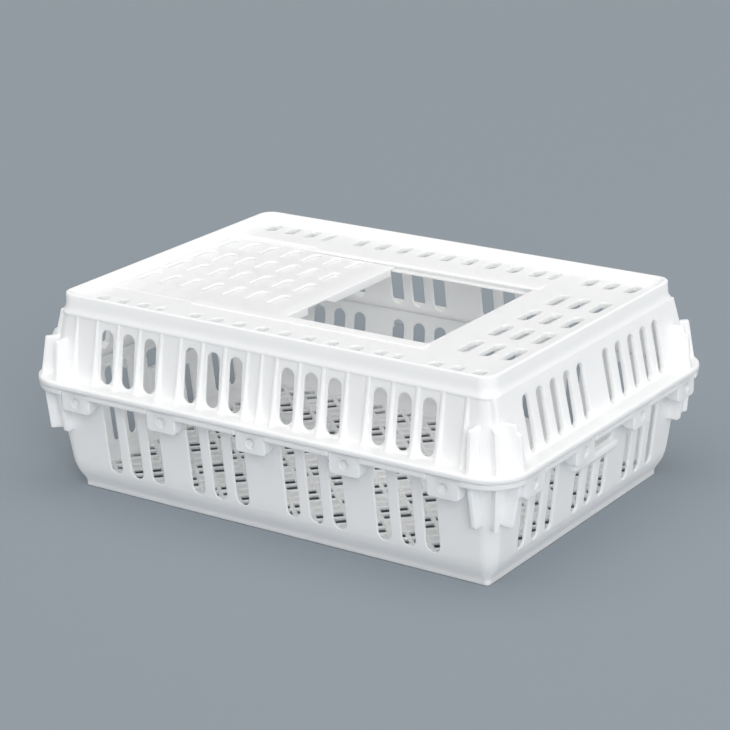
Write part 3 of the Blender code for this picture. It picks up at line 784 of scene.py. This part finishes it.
def floor_holes():
    """Four diamond holes to a cluster, and four shallow hollows between the clusters."""
    bm = bmesh.new()
    half_pitch = CLUSTER_PITCH / 2
    holes = ((0.0, DIAMOND_HALF, FLOOR_UNDER_Z - CUT_CLEAR),
             (half_pitch, DIAMOND_HALF * HOLLOW_SHARE, FLOOR_Z - HOLLOW_DEPTH))
    for x, y in cluster_centres():
        for shift, half, depth in holes:
            for dx, dy in ((1, 0), (-1, 0), (0, 1), (0, -1)):
                place = (x + shift + dx * DIAMOND_STEP, y + shift + dy * DIAMOND_STEP)
                if diamond_fits(*place):
                    outline = [(place[0] + u * half, place[1] + v * half)
                               for u, v in ((1, 0), (0, 1), (-1, 0), (0, -1))]
                    prism(bm, outline, depth, FLOOR_Z + CUT_CLEAR)
    return finish_mesh("floor_holes", bm)


def floor_ribs(name, turn):
    """Raised ribs along one diagonal direction, between the rows of diamonds."""
    bm = bmesh.new()
    pitch = DIAMOND_STEP * math.sqrt(2)
    spin = Matrix.Rotation(math.radians(turn), 4, "Z")
    origin = Vector((CLUSTER_ORIGIN[0], CLUSTER_ORIGIN[1], 0))
    for step in range(-FLOOR_RIB_ROWS, FLOOR_RIB_ROWS + 1):
        offset = step * pitch
        matrix = Matrix.Translation(origin) @ spin
        low = (-FLOOR_RIB_HALF_LENGTH, offset - FLOOR_RIB / 2, FLOOR_Z - FLOOR_RIB_ROOT)
        high = (FLOOR_RIB_HALF_LENGTH, offset + FLOOR_RIB / 2, FLOOR_Z + FLOOR_RIB_HIGH)
        soft_box(bm, low, high, 0.0005, 1, matrix)
    return finish_mesh(name, bm)


def floor_lattice():
    ribs = boolean(floor_ribs("floor_ribs", 45), [floor_ribs("cross_ribs", -45)], "UNION")
    bm = bmesh.new()
    inner = FOOT + Vector((0.0004, 0.0004))
    rings = [[Vector((p.x, p.y, z)) for p in rounded_rectangle(inner.x, inner.y, 0.0130)]
             for z in (0.0, 0.10)]
    skin(bm, rings)
    return boolean(ribs, [finish_mesh("floor_region", bm)], "INTERSECT")


def tray_fins():
    high = RIM_SPLIT_Z - 0.0020
    long_steps = ((0.0872, 0.2490), (0.0890, 0.2512), (0.1370, 0.2600), (high, 0.2610))
    end_steps = ((0.0872, 0.3545), (0.0890, 0.3567), (0.1370, 0.3655), (high, 0.3665))
    steps = {side: long_steps if axis == 1 else end_steps for side, (_, axis) in SIDES.items()}
    return plate_fins("tray_fins", tray_wall, TRAY_FIN_HALF, steps)


def lug_outline(half, low, high, grow):
    """Outline of a lug's plate: square at the top and rounded at its lower corners."""
    radius = max(0.0006, LUG_ROUND + grow)
    half += grow
    low -= grow
    points = [Vector((half, high)), Vector((-half, high))]
    points += arc((-half + radius, low + radius), radius, 180, 90, 5)
    points += arc((half - radius, low + radius), radius, 270, 90, 5)
    return points


def lug_block(bm, side, along, half, heights, depths):
    """A lug-shaped block along a wall's outward direction; depths are (distance, grow)."""
    out, run, _ = side_frame(side)
    rings = []
    for distance, grow in depths:
        rings.append([out * distance + run * (along + p.x) + Vector((0, 0, p.y))
                      for p in lug_outline(half, *heights, grow)])
    skin(bm, rings)


def lugs():
    bm = bmesh.new()
    for side, (_, axis) in SIDES.items():
        wall = tray_wall(TRAY_ROOF_Z, axis) - WALL * 0.93
        face = RIM[axis] - LUG_INSET
        for along in lug_positions(side):
            depths = ((wall, 0.0), (face - 0.0016, 0.0), (face - 0.0005, -0.0005), (face, -0.0016))
            lug_block(bm, side, along, LUG_WIDTH / 2, (LUG_LOW_Z, RIM_SPLIT_Z - 0.0004), depths)
    return finish_mesh("lugs", bm)


def lug_pockets():
    """Hollows behind the lug plates; the cheeks' lower edges slope up to the wall."""
    bm = bmesh.new()
    for side, (_, axis) in SIDES.items():
        outer = RIM[axis] - LUG_INSET - LUG_PLATE
        wall = tray_wall(TRAY_ROOF_Z, axis) + 0.0006
        half = LUG_WIDTH / 2 - CHEEK
        for along in lug_positions(side):
            outline = [(-half, wall), (-half, outer), (half, outer), (half, wall)]
            heights = (LUG_LOW_Z - CUT_CLEAR, TRAY_ROOF_Z)
            side_loft(bm, side, along, [(z, outline) for z in heights])
    pockets = finish_mesh("lug_pockets", bm)
    bm = bmesh.new()
    for side, (_, axis) in SIDES.items():
        out, run, _ = side_frame(side)
        face = RIM[axis] - LUG_INSET - LUG_PLATE
        wall = tray_wall(LUG_LOW_Z, axis) + 0.0012
        for along in lug_positions(side):
            rings = []
            for across in (-LUG_WIDTH / 2 - OVERLAP, LUG_WIDTH / 2 + OVERLAP):
                ends = ((face, LUG_LOW_Z - 0.0010), (wall, LUG_LOW_Z + 0.0120),
                        (wall, LUG_LOW_Z - 0.0020))
                ring = [out * depth + run * (along + across) + Vector((0, 0, z))
                        for depth, z in ends]
                rings.append(ring)
            skin(bm, rings)
    return pockets, finish_mesh("cheek_slopes", bm)


def rim_notches():
    bm = bmesh.new()
    half = LUG_WIDTH / 2 + GAP
    for side, (_, axis) in SIDES.items():
        depth = (RIM[axis] - NOTCH_DEPTH, RIM[axis] + NOTCH_DEPTH)
        for along in lug_positions(side):
            outline = [(-half, depth[0]), (-half, depth[1]), (half, depth[1]), (half, depth[0])]
            side_loft(bm, side, along, [(z, outline) for z in NOTCH_Z])
    return finish_mesh("rim_notches", bm)


def tongue_slits():
    bm = bmesh.new()
    half = TONGUE_WIDTH / 2 + GAP
    for side, (_, axis) in SIDES.items():
        outer = RIM[axis] - LUG_INSET - LUG_PLATE - GAP / 2
        inner = outer - TONGUE - 1.5 * GAP
        for along in lug_positions(side):
            outline = [(-half, inner), (-half, outer), (half, outer), (half, inner)]
            side_loft(bm, side, along, [(z, outline) for z in TONGUE_SLIT_Z])
    return finish_mesh("tongue_slits", bm)


def pin_bores(name, radius, depth, lip=0.0):
    """Round cutters on the pins' axes, reaching inward from the lugs' faces."""
    bm = bmesh.new()
    for _, place, out in pin_places():
        run = Vector((0, 0, 1)).cross(out)
        rings = []
        profile = [(0.0020, radius + lip), (0.0, radius + lip), (-lip, radius), (-depth, radius)]
        for distance, size in profile if lip else profile[::3]:
            ring = [place + out * distance + run * p.x + Vector((0, 0, p.y))
                    for p in circle(size)]
            rings.append(ring)
        skin(bm, rings)
    return finish_mesh(name, bm)


def grip_bars():
    """The rolled bar under each hand hole, with rounded ends."""
    bm = bmesh.new()
    middle_z = sum(BAR_Z) / 2
    half_z = (BAR_Z[1] - BAR_Z[0]) / 2
    wall = tray_wall(middle_z, 0)
    for side in (-1, 1):
        centre = side * (wall + BAR_DEPTH / 2 - BAR_SUNK)
        half_x = (BAR_DEPTH + BAR_SUNK) / 2
        rings = []
        ends = [(0.0000, 0.45), (0.0010, 0.72), (0.0026, 0.90), (0.0050, 1.0)]
        stations = [(-BAR_HALF + inset, share) for inset, share in ends]
        stations += [(BAR_HALF - inset, share) for inset, share in reversed(ends)]
        for y, share in stations:
            ring = [Vector((centre + p.x * share, y, middle_z + p.y * share))
                    for p in rounded_rectangle(half_x, half_z, BAR_ROUND, 4)]
            rings.append(ring)
        skin(bm, rings)
    return finish_mesh("grip_bars", bm)


def tray_diagonals():
    return diagonal_fins("tray_diagonals", (
        (0.0865, 0.0212, 0.0425), (0.0880, 0.0214, 0.0438), (RIM_SPLIT_Z - 0.0014, 0.0313, 0.0500),
    ))


def make_tray():
    tray = boolean(tray_shell(), [end_liners()], "UNION")
    boolean(tray, [tray_slots(), floor_holes(), rim_notches()], "DIFFERENCE")
    fittings = [floor_lattice(), tray_fins(), tray_diagonals(), lugs(), grip_bars()]
    boolean(tray, fittings, "UNION")
    holes = pin_bores("lug_holes", PIN_HEAD_RADIUS + GAP, LUG_HOLE_DEPTH, LUG_HOLE_ROUND)
    cuts = [*lug_pockets(), tongue_slits(), holes]
    boolean(tray, cuts, "DIFFERENCE")
    shade(tray)
    return tray


# ---------------------------------------------------------------- door and pins


def door_slot_places():
    return [(x, y) for x in spread(DOOR_SLOT_CENTRE[0], DOOR_SLOTS[0], DOOR_PITCH[0])
            for y in spread(DOOR_SLOT_CENTRE[1], DOOR_SLOTS[1], DOOR_PITCH[1])]


def lip_slope():
    """Cuts away the long lip's end beside the finger notch in a sagging curve."""
    bm = bmesh.new()
    start = DOOR_LIPS_Y[1][0]
    curve = [(start - 0.0010, DOOR_PLATE_LOW), (start + 0.0030, DOOR_PLATE_LOW - 0.0012),
             (start + 0.0100, DOOR_PLATE_LOW - 0.0040), (start + 0.0180, DOOR_PLATE_LOW - 0.0072),
             (start + 0.0240, DOOR_PLATE_LOW - 0.0120), (start - 0.0010, DOOR_PLATE_LOW - 0.0200)]
    ends = (door_high.x - 0.0100, door_high.x + 0.0100)
    skin(bm, [[Vector((x, y, z)) for y, z in curve] for x in ends])
    return finish_mesh("lip_slope", bm)


def make_door():
    bm = bmesh.new()
    low = (door_low.x, door_low.y, DOOR_PLATE_LOW)
    soft_box(bm, low, tuple(door_high), 0.0011, 3)
    door = finish_mesh("hatch_door_grille", bm)
    bm = bmesh.new()
    for y_low, y_high in DOOR_LIPS_Y:
        low = (door_high.x - DOOR_LIP, y_low, door_low.z + 0.0005)
        high = (door_high.x - 0.0002, y_high, door_high.z - 0.0014)
        soft_box(bm, low, high, 0.0010, 3)
    lips = finish_mesh("door_lips", bm)
    boolean(lips, [lip_slope()], "DIFFERENCE")
    boolean(door, [lips], "UNION")
    bm = bmesh.new()
    thickness = door_high.z - DOOR_PLATE_LOW
    for x, y in door_slot_places():
        matrix = flat_matrix(x, y, door_high.z)
        through_cut(bm, matrix, slot_outline(*DOOR_SLOT), thickness, DOOR_SLOT_ROUND)
    boolean(door, [finish_mesh("door_slots", bm)], "DIFFERENCE")
    shade(door)
    return door


def pin_places():
    """(node, middle of the lug's face, outward direction) of each pin."""
    places = []
    for side, (_, axis) in SIDES.items():
        out, run, _ = side_frame(side)
        for number, along in enumerate(lug_positions(side), start=1):
            place = out * (RIM[axis] - LUG_INSET) + run * along + Vector((0, 0, PIN_Z))
            places.append((f"rim_pin_{side}_{number}", place, out))
    return places


def pin_mesh():
    """A pin along X with a dished, closed head whose rim is at x = 0, bored from its inner end."""
    profile = [
        (-0.0020, 0.0), (-0.0019, PIN_HEAD_RADIUS - 0.0034), (-0.0016, PIN_HEAD_RADIUS - 0.0020),
        (-0.0012, PIN_HEAD_RADIUS - 0.0010), (-0.0011, PIN_HEAD_RADIUS - 0.0004),
        (-0.0014, PIN_HEAD_RADIUS), (-0.0028, PIN_HEAD_RADIUS), (-0.0029, PIN_SHANK_RADIUS),
        (-0.0083, PIN_SHANK_RADIUS), (-0.0088, PIN_SHANK_RADIUS - 0.0005),
        (-0.0088, PIN_BORE_RADIUS), (-0.0036, PIN_BORE_RADIUS), (-0.0035, 0.0),
    ]
    bm = bmesh.new()
    loops = []
    for x, radius in profile:
        ring = circle(radius) if radius else [Vector((0, 0))]
        loops.append([bm.verts.new((x, p.x, p.y)) for p in ring])
    for first, second in zip(loops, loops[1:]):
        for i in range(PIN_STEPS):
            j = (i + 1) % PIN_STEPS
            corners = [first[i % len(first)], first[j % len(first)],
                       second[j % len(second)], second[i % len(second)]]
            bm.faces.new(list(dict.fromkeys(corners)))
    bmesh.ops.recalc_face_normals(bm, faces=bm.faces)
    mesh = bpy.data.meshes.new("rim_pin")
    bm.to_mesh(mesh)
    bm.free()
    mesh.shade_smooth()
    mesh.set_sharp_from_angle(angle=math.radians(40))
    return mesh


def make_pins():
    mesh = pin_mesh()
    pins = []
    for node, place, out in pin_places():
        pin = bpy.data.objects.new(node.replace("rim_pin", "hollow_pin"), mesh)
        bpy.context.scene.collection.objects.link(pin)
        pin.location = place - out * GAP
        pin.rotation_euler = Euler((0, 0, math.atan2(out.y, out.x)))
        pins.append((node, pin))
    return pins


# ---------------------------------------------------------------- materials


def noise(tree, place, scale, detail, roughness=0.5):
    texture = tree.nodes.new("ShaderNodeTexNoise")
    texture.inputs["Scale"].default_value = scale
    texture.inputs["Detail"].default_value = detail
    texture.inputs["Roughness"].default_value = roughness
    tree.links.new(place.outputs["Object"], texture.inputs["Vector"])
    return texture.outputs["Fac"]


def remap(tree, value, source, target=(0.0, 1.0)):
    ranged = tree.nodes.new("ShaderNodeMapRange")
    ranged.inputs["From Min"].default_value = source[0]
    ranged.inputs["From Max"].default_value = source[1]
    ranged.inputs["To Min"].default_value = target[0]
    ranged.inputs["To Max"].default_value = target[1]
    tree.links.new(value, ranged.inputs["Value"])
    return ranged.outputs["Result"]


def bump(tree, height, strength, distance, under=None):
    relief = tree.nodes.new("ShaderNodeBump")
    relief.inputs["Strength"].default_value = strength
    relief.inputs["Distance"].default_value = distance
    tree.links.new(height, relief.inputs["Height"])
    if under:
        tree.links.new(under, relief.inputs["Normal"])
    return relief.outputs["Normal"]


def plastic(name, colour, tint, roughness, radius):
    """Moulded polyethylene: milky depth, faint mottling, flow waves and fine scuffs."""
    material = bpy.data.materials.new(name)
    material.use_nodes = True
    tree = material.node_tree
    shader = tree.nodes["Principled BSDF"]
    place = tree.nodes.new("ShaderNodeTexCoord")

    blend = tree.nodes.new("ShaderNodeMix")
    blend.data_type = "RGBA"
    blend.inputs[6].default_value = (*colour, 1.0)
    blend.inputs[7].default_value = (*tint, 1.0)
    mottle = noise(tree, place, 7.0, 4.0)
    tree.links.new(remap(tree, mottle, (0.35, 0.72)), blend.inputs[0])
    tree.links.new(blend.outputs[2], shader.inputs["Base Color"])

    scuff = noise(tree, place, 60.0, 6.0, 0.65)
    gloss = remap(tree, scuff, (0.3, 0.7), (roughness - 0.07, roughness + 0.10))
    tree.links.new(gloss, shader.inputs["Roughness"])

    waves = bump(tree, noise(tree, place, 14.0, 2.0), 0.35, 0.0022)
    grain = bump(tree, noise(tree, place, 900.0, 3.0), 0.12, 0.0002, waves)
    tree.links.new(grain, shader.inputs["Normal"])

    shader.inputs["Subsurface Weight"].default_value = 1.0
    shader.inputs["Subsurface Radius"].default_value = (1.0, 1.0, 1.0)
    shader.inputs["Subsurface Scale"].default_value = radius
    shader.inputs["Specular IOR Level"].default_value = 0.42
    return material


def dress(item, material, node, body):
    item.data.materials.clear()
    item.data.materials.append(material)
    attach(item, body)
    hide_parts(node)


def matt(name, colour, roughness):
    material = bpy.data.materials.new(name)
    material.use_nodes = True
    shader = material.node_tree.nodes["Principled BSDF"]
    shader.inputs["Base Color"].default_value = (*colour, 1.0)
    shader.inputs["Roughness"].default_value = roughness
    shader.inputs["Specular IOR Level"].default_value = 0.2
    return material


# ---------------------------------------------------------------- studio

CAMERA = {
    "lens": 120.32, "azimuth": 34.4203, "elevation": 19.2001, "roll": -1.155,
    "distance": 3.34973, "target": (-0.05753, 0.07591, 0.13),
}
FLOOR_COLOUR = (0.276, 0.313, 0.347)
SKY_STRENGTH = 0.47


def direction(azimuth, elevation):
    """Unit vector from the crate; azimuth 0 is the front and 90 the right, in degrees."""
    turn = math.radians(azimuth)
    lift = math.radians(elevation)
    return Vector((math.sin(turn) * math.cos(lift), -math.cos(turn) * math.cos(lift), math.sin(lift)))


def make_camera():
    data = bpy.data.cameras.new("camera")
    data.lens = CAMERA["lens"]
    data.sensor_width = 36.0
    data.clip_start = 0.05
    data.clip_end = 60.0
    camera = bpy.data.objects.new("camera", data)
    bpy.context.scene.collection.objects.link(camera)
    back = direction(CAMERA["azimuth"], CAMERA["elevation"])
    roll = math.radians(CAMERA["roll"])
    right = (-back).cross(Vector((0, 0, 1))).normalized()
    up = right.cross(-back)
    rolled_right = right * math.cos(roll) + up * math.sin(roll)
    rolled_up = up * math.cos(roll) - right * math.sin(roll)
    matrix = Matrix((rolled_right, rolled_up, back)).transposed().to_4x4()
    matrix.translation = Vector(CAMERA["target"]) + back * CAMERA["distance"]
    camera.matrix_world = matrix
    bpy.context.scene.camera = camera


def softbox(name, place, aim, size, power):
    data = bpy.data.lights.new(name, "AREA")
    data.shape = "RECTANGLE"
    data.size = size[0]
    data.size_y = size[1]
    data.energy = power
    light = bpy.data.objects.new(name, data)
    light.location = place
    light.rotation_euler = (Vector(aim) - Vector(place)).to_track_quat("-Z", "Y").to_euler()
    bpy.context.scene.collection.objects.link(light)


def sun(name, azimuth, elevation, spread_angle, strength):
    data = bpy.data.lights.new(name, "SUN")
    data.energy = strength
    data.angle = math.radians(spread_angle)
    light = bpy.data.objects.new(name, data)
    toward = direction(azimuth, elevation)
    light.rotation_euler = (-toward).to_track_quat("-Z", "Y").to_euler()
    bpy.context.scene.collection.objects.link(light)


def make_studio():
    bm = bmesh.new()
    bmesh.ops.create_grid(bm, x_segments=2, y_segments=2, size=20.0)
    floor = finish_mesh("studio_floor", bm)
    floor.location.z = -0.0005
    floor.data.materials.append(matt("pale_floor", FLOOR_COLOUR, 0.9))
    world = bpy.data.worlds.new("studio")
    world.use_nodes = True
    sky = world.node_tree.nodes["Background"]
    sky.inputs["Color"].default_value = (1.0, 1.0, 1.0, 1.0)
    sky.inputs["Strength"].default_value = SKY_STRENGTH
    bpy.context.scene.world = world
    sun("key_light", 44, 25, 28, 1.25)
    sun("top_light", 20, 76, 80, 1.23)
    softbox("right_softbox", (3.0, -0.4, 1.0), (0, 0, 0.1), (2.4, 2.0), 9.5)
    bpy.context.scene.view_settings.view_transform = "Standard"
    bpy.context.scene.cycles.max_bounces = 16
    bpy.context.scene.cycles.diffuse_bounces = 12


# ---------------------------------------------------------------- build

make_camera()
make_studio()

shell_plastic = plastic("milky_polyethylene", colour=(0.975, 0.977, 0.975),
                        tint=(0.955, 0.96, 0.957), roughness=0.45, radius=0.0068)
door_plastic = plastic("door_polyethylene", colour=(0.975, 0.975, 0.967),
                       tint=(0.955, 0.955, 0.947), roughness=0.44, radius=0.006)
pin_plastic = plastic("pin_nylon", colour=(0.955, 0.958, 0.955),
                      tint=(0.935, 0.94, 0.935), roughness=0.40, radius=0.004)

dress(make_tray(), shell_plastic, "tray", "crate")
dress(make_cover(), shell_plastic, "cover", "crate")
dress(make_door(), door_plastic, "hatch_door", "door")
for pin_node, pin in make_pins():
    dress(pin, pin_plastic, pin_node, "crate")
